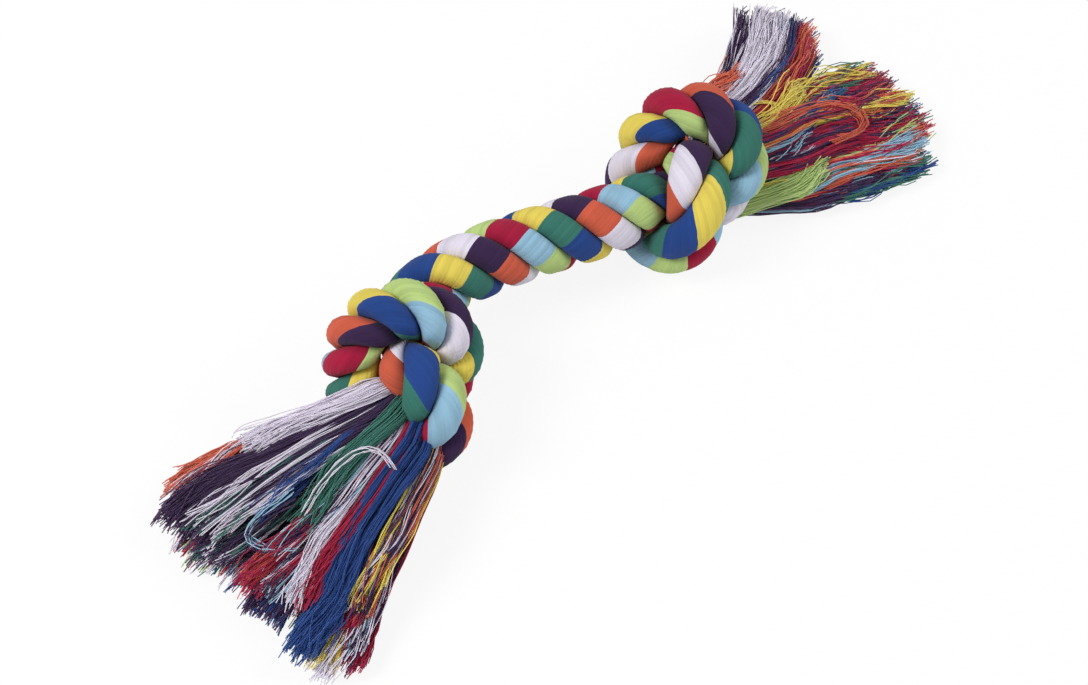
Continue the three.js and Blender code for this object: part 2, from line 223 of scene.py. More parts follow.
def bend_between(start, leaving, end, arriving, step):
    """A smooth bend from one knot to the other, with points about step apart."""
    t = np.linspace(0, 1, BEND_POINTS)[:, None]
    near, far = start + leaving * BEND_REACH, end - arriving * BEND_REACH
    curve = (1 - t) ** 3 * start + 3 * (1 - t) ** 2 * t * near + 3 * (1 - t) * t**2 * far + t**3 * end
    return spaced(curve, round(lengths_along(curve)[-1] / step) + 1)


def middle_line():
    """The rope's middle line from the left tassel to the right one."""
    inner_end = np.flatnonzero(tight_knot[:, 0] < KNOT_REACH)[-1] + 1
    inner_start = np.flatnonzero(tight_knot[:, 0] > -KNOT_REACH)[0]
    left = placed(tail_cut(tight_knot[:inner_end], -1), -1)
    right = placed(tail_cut(tight_knot[inner_start:], 1), 1)
    step = np.linalg.norm(left[-1] - left[-2])
    leaving = (left[-1] - left[-2]) / step
    arriving = (right[1] - right[0]) / np.linalg.norm(right[1] - right[0])
    between = bend_between(left[-1], leaving, right[0], arriving, step)
    points = smoothed(np.vstack([left, between[1:-1], right]), SMOOTH_ROUNDS)
    return spaced(points, round(lengths_along(points)[-1] / SAMPLE_STEP) + 1)


line = middle_line()
along = lengths_along(line)
middle = int(np.argmin(np.hypot(line[:, 0], line[:, 1])))
off_hinge = np.round(line[middle] + ROPE_OFFSET - hinge["rope_bend"], 2)
print("rope between the tassels:", round(along[-1]), "mm; off the CAD hinge by", off_hinge)

# %% [markdown]
# ## The lay
# A frame is carried along the line without twisting, from the rope's middle outwards, and the strands
# turn in it. Between the knots the rope keeps its factory lay. Tying a knot unwinds the lay in the pass
# across the front and winds it up in the arch above it, so each knot has two lays. The three colours
# of a strand also wind round it, the other way, so they show as slanting fields. One number, the colour
# phase, says which field a point is in: it grows with the length of the rope and with the angle round
# the strand.

# %% Frames along the rope, and how far its strands and colours have turned
LAY_LENGTH = 37.0
KNOT_LAYS = {-1: (42.0, 26.0), 1: (30.0, 58.0)}
LAY_CHANGE = {-1: 77.0, 1: 121.0}
LAY_CHANGE_LENGTH = 30.0
KNOT_FADE = (1.4 * ROPE_DIAMETER, 2 * ROPE_DIAMETER)
FIRST_STRAND_ANGLE = math.radians(283)
COLOUR_LENGTH = 5.3
COLOUR_LEAN = 0.836
COLOUR_START = {"a": -0.33, "b": -1.44, "c": 0.27}
KNOT_COLOUR_LENGTHS = {
    -1: {"a": (6.6, 5.6), "b": (5.6, 5.6), "c": (7.4, 6.4)},
    1: {"a": (6.4, 6.4), "b": (6.6, 6.0), "c": (6.4, 6.4)},
}


def smoothstep(value, low, high):
    """A share that goes softly from 0 at low to 1 at high."""
    t = np.clip((value - low) / (high - low), 0, 1)
    return t * t * (3 - 2 * t)


def carried_frames(points, start):
    """Tangents, normals and binormals that don't twist along the line."""
    tangents = np.empty_like(points)
    tangents[1:-1] = points[2:] - points[:-2]
    tangents[0], tangents[-1] = points[1] - points[0], points[-1] - points[-2]
    tangents /= np.linalg.norm(tangents, axis=1)[:, None]
    normals = np.zeros_like(points)

    def square(i, normal):
        """Keep, as the normal at point i, what is square to the rope there."""
        flat = normal - tangents[i] * (normal @ tangents[i])
        normals[i] = flat / np.linalg.norm(flat)

    square(start, np.array([0.0, 0.0, 1.0]))
    for i in range(start + 1, len(points)):
        square(i, normals[i - 1])
    for i in range(start - 1, -1, -1):
        square(i, normals[i + 1])
    return tangents, normals, np.cross(tangents, normals)


def turns_along(free_length, left_lengths, right_lengths):
    """Turns counted from the rope's middle, for a length per turn between the knots and two in each."""
    rates = np.empty(len(along))
    for sign, (near, far) in ((-1, left_lengths), (1, right_lengths)):
        half = LAY_CHANGE_LENGTH / 2
        beyond = smoothstep(np.abs(from_middle), LAY_CHANGE[sign] - half, LAY_CHANGE[sign] + half)
        in_knot = (1 - beyond) / near + beyond / far
        here = from_middle < 0 if sign < 0 else from_middle >= 0
        rates[here] = ((1 - knot_share) / free_length + knot_share * in_knot)[here]
    steps = (rates[1:] + rates[:-1]) / 2 * np.diff(along)
    total = np.concatenate([[0], np.cumsum(steps)])
    return total - total[middle]


tangents, normals, binormals = carried_frames(line, middle)
from_middle = along - along[middle]
knot_share = smoothstep(np.abs(from_middle), *KNOT_FADE)
strand_angle = FIRST_STRAND_ANGLE + 2 * math.pi * turns_along(LAY_LENGTH, KNOT_LAYS[-1], KNOT_LAYS[1])
colour_turns = {}
for letter in "abc":
    lengths = [KNOT_COLOUR_LENGTHS[sign][letter] for sign in (-1, 1)]
    colour_turns[letter] = COLOUR_START[letter] + turns_along(COLOUR_LENGTH, *lengths)
print("turns of the lay:", round((strand_angle[-1] - strand_angle[0]) / (2 * math.pi), 1))

# %% [markdown]
# ## A strand's surface
# Seen in the rope's section, a strand is an oval off the rope's middle, cut where it meets its
# neighbours. Inside a knot the passes press each other flat: the surface may only reach halfway to the
# next pass. A soft limit keeps that edge round. A shallow crease runs along each colour's border, where
# one bundle of yarn lies beside the next.

# %% Rings of one strand
STRAND_GAP = 0.3
PASS_GAP = 0.5
PASS_SKIP = 4
PASS_REACH = 2.2 * ROPE_RADIUS
OWN_PASS = 0.3 * ROPE_DIAMETER
LEAST_FACING = 0.01
PRESS_POWER = 7
STRAND_MIDDLE = 0.54
STRAND_DEPTH = 0.46
FREE_STRAND_WIDTH = 0.65
KNOT_STRAND_WIDTH = 0.58
LOBE_POINTS = 34
RING_SKIP = 2
CREASE_DEPTH = 0.3
CREASE_WIDTH = 0.1
STRAND_END = 10.0
END_TAPER = 13.0
END_WIDTH = 0.05
TAPER_POWER = 0.8
THIRD_TURN = 2 * math.pi / 3


def lobe_radius(offset, share):
    """The oval's far side, seen from the rope's middle at an angle off the strand's crest."""
    width = FREE_STRAND_WIDTH + (KNOT_STRAND_WIDTH - FREE_STRAND_WIDTH) * share
    across = np.cos(offset) / STRAND_DEPTH
    beside = np.sin(offset) / width
    square = across**2 + beside**2
    half = across * STRAND_MIDDLE / STRAND_DEPTH
    rest = (STRAND_MIDDLE / STRAND_DEPTH) ** 2 - 1
    return ROPE_RADIUS * (half + np.sqrt(half**2 - square * rest)) / square


def room_towards(ring, directions):
    """How far the rope reaches in each direction before it meets another pass."""
    others = np.arange(0, len(line), PASS_SKIP)
    apart = line[others] - line[ring]
    distance = np.linalg.norm(apart, axis=1)
    near = (np.abs(along[others] - along[ring]) >= OWN_PASS) & (distance <= PASS_REACH)
    if not near.any():
        return np.full(len(directions), np.inf)
    facing = directions @ (apart[near] / distance[near, None]).T
    half = (distance[near] - PASS_GAP) / 2
    return np.where(facing > LEAST_FACING, half / np.maximum(facing, LEAST_FACING), np.inf).min(axis=1)


def strand_rings(letter, number):
    """Points and colour phases of a strand, ring by ring, from its root in one neck to the other."""
    first = int(STRAND_END / SAMPLE_STEP)
    rings = np.arange(first, len(line) - first, RING_SKIP)
    points = np.empty((len(rings), LOBE_POINTS + 2, 3))
    phases = np.empty((len(rings), LOBE_POINTS + 2))
    for row, ring in enumerate(rings):
        edge = THIRD_TURN / 2 - math.asin(STRAND_GAP / 2 / lobe_radius(THIRD_TURN / 2, knot_share[ring]))
        offsets = np.linspace(-edge, edge, LOBE_POINTS)
        angles = strand_angle[ring] + number * THIRD_TURN + offsets
        directions = np.cos(angles)[:, None] * normals[ring] + np.sin(angles)[:, None] * binormals[ring]
        phase = colour_turns[letter][ring] + COLOUR_LEAN * offsets
        radius = lobe_radius(offsets, knot_share[ring])
        border = np.abs(phase - np.round(phase)) / CREASE_WIDTH
        radius = radius - CREASE_DEPTH * np.exp(-(border**2))
        room = room_towards(ring, directions)
        pressed = radius / (1 + (radius / room) ** PRESS_POWER) ** (1 / PRESS_POWER)
        to_end = min(along[ring] - along[rings[0]], along[rings[-1]] - along[ring])
        taper = END_WIDTH + (1 - END_WIDTH) * min(to_end / END_TAPER, 1) ** TAPER_POWER
        points[row, 1:-1] = line[ring] + (pressed * taper)[:, None] * directions
        points[row, [0, -1]] = line[ring] + directions[LOBE_POINTS // 2] * STRAND_GAP
        phases[row, 1:-1] = phase
        phases[row, [0, -1]] = phase[[0, -1]]
    points[..., 2] = np.maximum(points[..., 2], 0.0)
    return points + ROPE_OFFSET, phases, along[rings]


crest, groove = (round(float(lobe_radius(offset, 0)), 2) for offset in (0, THIRD_TURN / 2))
print("between the knots a strand's crest is", crest, "mm from the rope's middle, its groove", groove, "mm")

# %% [markdown]
# ## From a ribbon to tubes
# Strands and yarns are both long tubes with a pattern that follows them. A flat grid is the easiest
# start: it is one operator, and its rows become rings. For many yarns the grid is one long ribbon that
# is cut into lengths. The long edges are then welded and the ends closed. The pattern's coordinates go
# into a UV map before the weld, so each side of the seam keeps its own.

# %% Wrap a grid into tubes
METRE = 0.001
WELD = 1e-7


def ribbon(count, rows, columns):
    """A flat grid cut into count lengths, and for each of its points the length, row and column."""
    bm = bmesh.new()
    bmesh.ops.create_grid(bm, x_segments=count * rows - 1, y_segments=columns - 1, size=1)
    total = count * rows
    steps = ((total - 1) / 2, (columns - 1) / 2)
    spots = [(round((v.co.x + 1) * steps[0]), round((v.co.y + 1) * steps[1])) for v in bm.verts]
    bm.verts.index_update()
    cut = []
    for face in bm.faces:
        reached = {spots[vert.index][0] // rows for vert in face.verts}
        if len(reached) > 1:
            cut.append(face)
    bmesh.ops.delete(bm, geom=cut, context="FACES_ONLY")
    spots = np.array(spots)
    return bm, (spots[:, 0] // rows, spots[:, 0] % rows, spots[:, 1])


def wrapped_tubes(name, rings, pattern, material):
    """An object of closed tubes: rings[n, i, j] are points in mm and pattern[n, i, j] their UV."""
    bm, spots = ribbon(*rings.shape[:3])
    mesh = bpy.data.meshes.new(name)
    bm.to_mesh(mesh)
    bm.free()
    mesh.vertices.foreach_set("co", (rings[spots] * METRE).astype(np.float32).ravel())
    corners = np.empty(len(mesh.loops), dtype=np.int32)
    mesh.loops.foreach_get("vertex_index", corners)
    uv = mesh.uv_layers.new(name="pattern")
    uv.data.foreach_set("uv", pattern[spots][corners].astype(np.float32).ravel())
    bm = bmesh.new()
    bm.from_mesh(mesh)
    bmesh.ops.remove_doubles(bm, verts=bm.verts, dist=WELD)
    # Cutting the ribbon left the edges between its lengths, which belong to no face
    bmesh.ops.delete(bm, geom=[edge for edge in bm.edges if edge.is_wire], context="EDGES")
    bmesh.ops.holes_fill(bm, edges=[edge for edge in bm.edges if edge.is_boundary], sides=0)
    bmesh.ops.recalc_face_normals(bm, faces=bm.faces)
    for face in bm.faces:
        face.smooth = True
    bm.to_mesh(mesh)
    bm.free()
    mesh.materials.append(material)
    piece = bpy.data.objects.new(name, mesh)
    bpy.context.collection.objects.link(piece)
    return piece


# %% [markdown]
# ## Cotton
# The yarn is dyed before it is laid, so colour changes from bundle to bundle and not within one. The
# strand's material reads the colour phase from the UV map: each whole step of it is a field of one of
# the three dyes, a ninth of a field is one yarn, and noise that is stretched along the yarn makes
# fibres. The yarns also lift the surface a little through a bump. The loose yarn of the tassels gets
# the same dyes, painted lighter there against the shade between its yarns. What is the same all over,
# such as the roughness, is set on the shader itself.

# %% The nine dyes
DYES = {
    "yellow": (222, 202, 90),
    "green": (56, 114, 102),
    "blue": (36, 68, 134),
    "red": (162, 26, 60),
    "light_blue": (144, 184, 208),
    "lime": (178, 202, 126),
    "purple": (56, 36, 72),
    "orange": (202, 92, 68),
    "white": (220, 213, 228),
}
STRAND_DYES = {
    "a": ("yellow", "green", "blue"),
    "b": ("red", "light_blue", "lime"),
    "c": ("purple", "orange", "white"),
}


def linear(dye):
    """A dye's sRGB numbers as the linear colour that a shader wants."""
    shares = [v / 255 for v in DYES[dye]]
    return (*[v / 12.92 if v <= 0.04045 else ((v + 0.055) / 1.055) ** 2.4 for v in shares], 1)


print(len(DYES), "dyes; red is", [round(share, 3) for share in linear("red")[:3]], "in linear light")

# %% Small helpers for node materials
COTTON = {"Roughness": 0.92, "Specular IOR Level": 0.1, "Sheen Weight": 0.06, "Sheen Roughness": 0.6}


def new_material(name, finish):
    """A material with the finish's constants on its shader: (material, node tree, shader)."""
    material = bpy.data.materials.new(name)
    material.use_nodes = True
    shader = material.node_tree.nodes["Principled BSDF"]
    for socket, value in finish.items():
        shader.inputs[socket].default_value = value
    return material, material.node_tree, shader


def maths(tree, operation, a, b=None):
    """One step of arithmetic; a and b are sockets or numbers."""
    node = tree.nodes.new("ShaderNodeMath")
    node.operation = operation
    for socket, value in zip(node.inputs, (a, b)):
        if value is None:
            continue
        if isinstance(value, (int, float)):
            socket.default_value = value
        else:
            tree.links.new(value, socket)
    return node.outputs[0]


def ranged(tree, value, low, high):
    """A value from 0 to 1, moved to run from low to high."""
    node = tree.nodes.new("ShaderNodeMapRange")
    node.inputs["To Min"].default_value = low
    node.inputs["To Max"].default_value = high
    tree.links.new(value, node.inputs["Value"])
    return node.outputs[0]


def dyed(tree, colour, shade):
    """The colour, a socket or four numbers, times a grey shade."""
    mix = tree.nodes.new("ShaderNodeMix")
    mix.data_type = "RGBA"
    mix.blend_type = "MULTIPLY"
    mix.inputs["Factor"].default_value = 1
    # The node's first sockets are for numbers and vectors; colours have these places
    first, second, result = mix.inputs[6], mix.inputs[7], mix.outputs[2]
    if isinstance(colour, tuple):
        first.default_value = colour
    else:
        tree.links.new(colour, first)
    tree.links.new(shade, second)
    return result


# %% Yarns and fibres as nodes
def pattern_of(tree):
    """The two coordinates of the piece's UV map."""
    pattern = tree.nodes.new("ShaderNodeUVMap")
    split = tree.nodes.new("ShaderNodeSeparateXYZ")
    tree.links.new(pattern.outputs[0], split.inputs[0])
    return split.outputs[0], split.outputs[1]


def fibre_noise(tree, across, lengthways, detail):
    """Noise on two coordinates, so that it can be stretched along the yarn."""
    joined = tree.nodes.new("ShaderNodeCombineXYZ")
    tree.links.new(across, joined.inputs[0])
    tree.links.new(lengthways, joined.inputs[1])
    noise = tree.nodes.new("ShaderNodeTexNoise")
    noise.inputs["Scale"].default_value = 1
    noise.inputs["Detail"].default_value = detail
    tree.links.new(joined.outputs[0], noise.inputs["Vector"])
    return noise.outputs["Fac"]


def yarn_shade(tree, yarn, yarn_shades, fibres, fibre_shades):
    """A grey that changes from one whole number of yarn to the next, and with the fibres."""
    one_yarn = tree.nodes.new("ShaderNodeTexWhiteNoise")
    one_yarn.noise_dimensions = "1D"
    tree.links.new(maths(tree, "FLOOR", yarn), one_yarn.inputs["W"])
    by_yarn = ranged(tree, one_yarn.outputs["Value"], *yarn_shades)
    return maths(tree, "MULTIPLY", by_yarn, ranged(tree, fibres, *fibre_shades))


def raise_surface(tree, shader, height, strength, distance):
    """A bump on the shader, distance in metres."""
    bump = tree.nodes.new("ShaderNodeBump")
    bump.inputs["Strength"].default_value = strength
    bump.inputs["Distance"].default_value = distance
    tree.links.new(height, bump.inputs["Height"])
    tree.links.new(bump.outputs[0], shader.inputs["Normal"])


# %% The material of a laid strand
YARNS_PER_COLOUR = 9
FIBRES_PER_YARN = 2.2
STRAND_FIBRE_DETAIL = 3
STRAND_YARN_SHADES = (0.9, 1.06)
STRAND_FIBRE_SHADES = (0.86, 1.14)
RIDGE_SHARE = 0.6
STRAND_BUMP = (0.45, 0.00025)


def strand_cotton(letter):
    """Three dyes in slanting fields, with the yarns' ridges and fibres."""
    material, tree, shader = new_material(f"strand_{letter}_cotton", COTTON)
    phase, length = pattern_of(tree)
    ramp = tree.nodes.new("ShaderNodeValToRGB")
    ramp.color_ramp.interpolation = "CONSTANT"
    ramp.color_ramp.elements.new(2 / 3)
    ramp.color_ramp.elements[1].position = 1 / 3
    ramp.color_ramp.elements[2].position = 2 / 3
    for element, dye in zip(ramp.color_ramp.elements, STRAND_DYES[letter]):
        element.color = linear(dye)
    tree.links.new(maths(tree, "FRACT", maths(tree, "DIVIDE", phase, 3)), ramp.inputs[0])
    yarn = maths(tree, "MULTIPLY", phase, YARNS_PER_COLOUR)
    across = maths(tree, "MULTIPLY", yarn, FIBRES_PER_YARN)
    fibres = fibre_noise(tree, across, length, STRAND_FIBRE_DETAIL)
    shade = yarn_shade(tree, yarn, STRAND_YARN_SHADES, fibres, STRAND_FIBRE_SHADES)
    tree.links.new(dyed(tree, ramp.outputs[0], shade), shader.inputs["Base Color"])
    ridge = maths(tree, "ABSOLUTE", maths(tree, "SINE", maths(tree, "MULTIPLY", yarn, math.pi)))
    height = maths(tree, "ADD", maths(tree, "MULTIPLY", ridge, RIDGE_SHARE), fibres)
    raise_surface(tree, shader, height, *STRAND_BUMP)
    return material


strand_cottons = {letter: strand_cotton(letter) for letter in STRAND_DYES}
print("strand materials:", [material.name for material in strand_cottons.values()])

# %% [markdown]
# ## The strands
# Each strand runs unbroken through both knots, so it is one piece. It stands for all the stretches that
# the CAD model cuts it into. Its tapered ends stay inside the knots, where the yarns of the tassels take
# over.

# %% Three strands through both knots
STRETCHES = ("left_neck", "left_knot", "middle", "right_knot", "right_neck")
STRAND_FIBRE_SCALE = 0.12


for number, letter in enumerate("abc"):
    rings, phases, lengths = strand_rings(letter, number)
    fibre_lengths = np.repeat(lengths[:, None] * STRAND_FIBRE_SCALE, phases.shape[1], axis=1)
    pattern = np.stack([phases, fibre_lengths], axis=2)
    rings[:, -1] = rings[:, 0]
    strand = wrapped_tubes(f"strand_{letter}", rings[None], pattern[None], strand_cottons[letter])
    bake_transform(strand)
    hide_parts(*[f"{stretch}_strand_{letter}" for stretch in STRETCHES])
    print(strand.name, len(strand.data.polygons), "faces")

# %% [markdown]
# ## The tassels
# Right at the knot the strands come apart into yarn. Hair particles or one solid with a bump could
# stand for it, but neither gives the cut ends, crossings and strays that make a tassel. So every yarn
# is a thin tube of its own. All are measured in the tassel's own frame: how far ahead of the rope's end
# a point is, how far to the left of the tassel's middle, and how high over the floor.

# %% The tassels' frames
def tassel_frame(name):
    """Where a tassel starts: the rope's end there, the tassel's heading, and its left."""
    end = 0 if name == "left" else len(line) - 1
    heading = tangents[end] * (-1 if name == "left" else 1)
    heading = np.array([heading[0], heading[1], 0]) / math.hypot(heading[0], heading[1])
    left = np.array([-heading[1], heading[0], 0])
    print(name, "tassel heads", np.round(heading[:2], 2))
    return {"end": end, "heading": heading, "left": left, "root": line[end] + ROPE_OFFSET}


places = {name: tassel_frame(name) for name in ("left", "right")}

# %% [markdown]
# ## The locks
# Yarns lie together in locks. A list says how each lock runs. First come its dyes, dealt out to its
# bundles in turn, and its number of yarns, which FULLNESS below multiplies. Then come four places to
# the left (or, below zero, to the right) of the tassel's middle: inside the knot, just beyond the
# rope's end, halfway out, and at the cut. The last numbers are the lock's half width and length, and
# how high it lies at the knot and at the cut, from 0 on the floor to 1 on top. Broad smooth locks of
# one dye lie on top, thin mixed ones between them, and a loose mixture fills the bed below.

# %% How the locks run (millimetres)
LOCKS = {
    "left": [
        ("white", 300, (-5, -28, -42, -44), 4.6, 8, (1.05, 1.0)),
        ("orange white orange", 90, (-9, -32, -44, -46), 2.2, 28, (0.9, 0.8)),
        ("orange", 100, (-10, -36, -48, -49), 2.2, 25, (0.7, 0.55)),
        ("purple", 440, (0, -16, -33, -39), 7.5, 35, (0.97, 0.88)),
        ("blue", 30, (0, -8, -15, -16), 1.2, 25, (0.95, 1.0)),
        ("white", 26, (1, -13, -25, -30), 7, 36, (0.92, 1.08)),
        ("green purple white purple purple", 110, (1, -12, -24, -29), 6, 37, (0.9, 1.0)),
        ("green", 160, (6, -1, -3, -4), 3, 22, (1.05, 1.0)),
        ("white purple green purple", 150, (3, -7, -19, -25), 5, 41, (0.75, 0.75)),
        ("white light_blue purple", 90, (6, 6, -2, -6), 2.4, 33, (0.95, 0.98)),
        ("red orange red", 160, (6, 4, -2, -9), 2.6, 42, (0.95, 0.97)),
        ("white", 100, (8, 6, 5, 7), 1.8, 40, (0.95, 1.02)),
        ("white purple light_blue red", 120, (7, 5, 2, -1), 3, 41, (0.92, 0.92)),
        ("red", 110, (11, 11, 10, 9), 1.8, 39, (0.98, 1.0)),
        ("blue", 340, (15, 14, 14, 16), 4, 50, (1.05, 0.95)),
        ("purple purple blue", 220, (6, 4, 2, 0), 6, 47, (0.6, 0.65)),
        ("orange purple white purple yellow", 190, (18, 22, 23, 25), 2.8, 33, (0.95, 1.0)),
        ("yellow", 30, (17, 24, 25, 25), 1.2, 27, (0.85, 0.9)),
        ("light_blue white purple", 140, (16, 19, 23, 27), 3, 43, (0.75, 0.75)),
        ("purple red", 90, (17, 21, 25, 29), 3, 44, (0.5, 0.5)),
        ("red", 80, (15, 19, 23, 29), 2, 46, (0.6, 0.6)),
        ("red", 60, (14, 17, 21, 23), 2, 39, (0.8, 0.85)),
        ("yellow white white", 180, (14, 15, 16, 24), 3.5, 51, (0.6, 0.7)),
        ("purple blue white red", 300, (4, -3, -9, -10), 25, 41, (0.6, 0.35)),
        ("green orange lime white", 180, (4, -3, -9, -12), 25, 41, (0.5, 0.25)),
        ("purple", 170, (0, -12, -23, -27), 14, 35, (0.6, 0.4)),
    ],
    "right": [
        ("purple white purple white", 130, (4, 15, 34, 39), 3.2, 26, (0.8, 0.8)),
        ("purple white", 90, (2, 12, 31, 36), 3, 30, (0.8, 0.85)),
        ("white", 250, (0, 7, 26, 34), 4.5, 32, (0.95, 0.95)),
        ("white", 200, (-4, 2, 18, 31), 4, 37, (1.0, 1.0)),
        ("blue purple", 50, (-5, 0, 14, 28), 1.2, 39, (1.05, 1.05)),
        ("white blue", 60, (-6, -1, 13, 26), 1.5, 38, (0.95, 0.95)),
        ("orange red", 130, (-8, -4, 9, 22), 2.8, 40, (0.95, 0.95)),
        ("red purple orange", 120, (-9, -4, 6, 16), 3, 39, (0.85, 0.85)),
        ("blue purple", 50, (-9, -5, 4, 11), 2, 36, (0.6, 0.6)),
        ("orange", 70, (7, 12, 18, 18), 3, 6, (1.0, 1.0)),
        ("yellow", 90, (-11, -8, 0, 2), 2.5, 21, (1.0, 0.98)),
        ("yellow red green yellow", 160, (-12, -10, 1, -1), 3, 49, (0.95, 0.85)),
        ("red purple red orange", 220, (-12, -13, -8, -6), 4.2, 51, (0.85, 0.85)),
        ("yellow orange", 90, (-12, -15, -10, -15), 1.8, 53, (0.95, 0.95)),
        ("purple blue green", 140, (-12, -17, -15, -18), 3.2, 52, (0.8, 0.8)),
        ("light_blue green blue", 90, (-12, -15, -9, -5), 2.2, 36, (0.95, 0.95)),
        ("red orange purple", 90, (-10, -13, -8, -10), 2.5, 42, (1.0, 1.0)),
        ("red purple red", 190, (-13, -20, -20, -23), 4.2, 51, (0.8, 0.85)),
        ("green purple", 90, (-11, -15, -16, -22), 2.5, 50, (0.7, 0.75)),
        ("blue", 30, (-10, -11, -14, -17), 1.5, 52, (0.6, 0.6)),
        ("lime", 260, (-19, -25, -18, -17), 4.5, 11, (0.45, 0.7)),
        ("lime yellow green lime", 90, (-17, -23, -19, -19), 3.5, 17, (0.5, 0.72)),
        ("light_blue purple white", 60, (-15, -20, -17, -17), 2.5, 13, (0.7, 0.85)),
        ("red orange lime red", 200, (-15, -25, -25, -26), 4.2, 50, (0.3, 0.9)),
        ("light_blue", 110, (-15, -28, -29, -30), 2.2, 47, (0.25, 0.9)),
        ("orange red white", 100, (-15, -28, -31, -32), 2.8, 44, (0.25, 0.8)),
        ("light_blue purple", 80, (-15, -29, -33, -33), 2.5, 44, (0.2, 0.7)),
        ("purple light_blue", 80, (-15, -30, -34, -36), 3, 39, (0.2, 0.5)),
        ("blue green", 150, (-14, -28, -34, -38), 3, 44, (0.2, 0.55)),
        ("green", 50, (-14, -28, -30, -34), 2, 45, (0.4, 0.7)),
        ("red purple orange", 80, (-15, -29, -34, -34), 2, 18, (0.15, 0.5)),
        ("white purple red", 190, (-5, 4, 19, 26), 8, 38, (0.62, 0.4)),
        ("red purple blue orange", 300, (-8, -14, -13, -16), 17, 46, (0.6, 0.38)),
        ("yellow green red", 150, (-8, -14, -13, -16), 17, 46, (0.55, 0.33)),
    ],
}
print("locks:", {name: len(rows) for name, rows in LOCKS.items()})

# %% [markdown]
# ## One lock
# A few yarns lie together in a bundle, as they were twisted, and still turn about each other. The
# bundles are spread over the lock's width, and each keeps its own place and wave in it, while the lock
# as a whole sweeps in a slow wave. Towards the cut the bundles open, single yarns frizz, and now and
# then one strays. Inside the knot the yarns fill the rope's round section and follow its line, so no
# root shows. All of it is arithmetic on arrays, one row for each yarn and one column for each point
# on it, because thousands of single yarns in a loop would take too long.

# %% What combing leaves in the yarns
BUNDLE_RADIUS = 0.55
BUNDLE_OPENS = 0.5
OPEN_AT = 25
# Lengths, sizes and turns are drawn between two limits, and a pair that ends in GROWS says from where
# to where on a yarn's way the motion builds up
SWEEP_LENGTHS, SWEEP_SIZES = (45, 70), (0.5, 2)
WAVE_LENGTHS, WAVE_SIZES, WAVE_GROWS, WAVE_LIFT = (20, 40), (0.3, 1.5), (0.4, 0.9), 0.6
WAVE_LIFT_TURN = 1.6 * math.pi
TWIST_LENGTHS = (26, 50)
FRIZZ_LENGTHS, FRIZZ_SIZE, FRIZZ_GROWS, FRIZZ_LIFT = (20, 36), 0.4, (0.45, 1), 0.7
STRAY_TURNS, STRAY_SIZES, STRAY_GROWS, STRAY_LIFT = (0.5, 1.1), (1.5, 4.5), (0.5, 0.95), 0.8
STRAY_SHARE = 0.04


def for_bundles(draw, bundle):
    """What was drawn for each bundle, handed on to the yarns in it."""
    return draw[bundle][:, None]


def combed(way, ahead, side, bundle, chance):
    """The yarns' places to the side, and their lifts, with waves, twists, frizz and strays."""
    count, bundles = len(bundle), int(bundle[-1]) + 1
    sweep = np.sin(2 * math.pi * (ahead / chance.uniform(*SWEEP_LENGTHS) + chance.random()))
    side = side + chance.uniform(*SWEEP_SIZES) * sweep * smoothstep(ahead, 0, OPEN_AT)

    wave = ahead / for_bundles(chance.uniform(*WAVE_LENGTHS, bundles), bundle)
    wave = wave + for_bundles(chance.random(bundles), bundle)
    swing = for_bundles(chance.uniform(*WAVE_SIZES, bundles), bundle) * smoothstep(way, *WAVE_GROWS)
    side = side + swing * np.sin(2 * math.pi * wave)
    lift = WAVE_LIFT * swing * np.cos(WAVE_LIFT_TURN * wave)

    twist = ahead / for_bundles(chance.uniform(*TWIST_LENGTHS, bundles), bundle)
    twist = twist + chance.random(count)[:, None]
    apart = BUNDLE_RADIUS * np.sqrt(chance.random(count))[:, None] * (1 + BUNDLE_OPENS * way**3)
    side = side + apart * np.cos(2 * math.pi * twist)
    lift = lift + apart * np.sin(2 * math.pi * twist)

    frizz = ahead / chance.uniform(*FRIZZ_LENGTHS, count)[:, None] + chance.random(count)[:, None]
    curl = np.abs(chance.normal(0, FRIZZ_SIZE, count))[:, None] * smoothstep(way, *FRIZZ_GROWS)
    side = side + curl * np.sin(2 * math.pi * frizz)
    lift = lift + FRIZZ_LIFT * curl * np.cos(2 * math.pi * frizz)

    strays = (chance.random(count) < STRAY_SHARE) * chance.uniform(*STRAY_SIZES, count)
    far = strays[:, None] * smoothstep(way, *STRAY_GROWS)
    bow = way * chance.uniform(*STRAY_TURNS, count)[:, None] + chance.random(count)[:, None]
    side = side + far * np.sin(2 * math.pi * bow)
    return side, lift + STRAY_LIFT * far * np.abs(np.cos(2 * math.pi * bow))


# %% The middle lines of a lock's yarns
YARN_START = -36.0
IN_ROPE = -31.0
LEAVING = -20.0
JUST_OUT = 4.0
HALFWAY = 26.0
YARN_POINTS = 16
POINT_CROWDING = 0.8
FULLNESS = 1.6
BUNDLE_YARNS = 4
YARN_RADIUS = 0.18
BUNDLE_RAGGED = 2.2
YARN_RAGGED = 1.1
LEVEL_JITTER = 0.12
ROPE_FILL = 8.5
START_FILL = 0.3
LOCK_SHARE = 0.7
YARN_SHARE = 0.3
MOST_ACROSS = 0.95
WIDEST_LEAVING = 19.0
HALF_LEAVING = 6
OPEN_WIDTH = 1.05
EASE_ROUNDS = 2
FAN_PLACES = (-20.0, 12.0, 40.0)
FAN_HALVES = (20.0, 35.0, 45.0)
TOP_PLACES = (-20.0, 0.0, 13.0, 26.0, 39.0, 60.0)
TOP_HEIGHTS = (30.0, 27.0, 23.5, 17.5, 12.5, 8.5)
DOME_FALL = 0.5
DOME_LEAST = 0.12


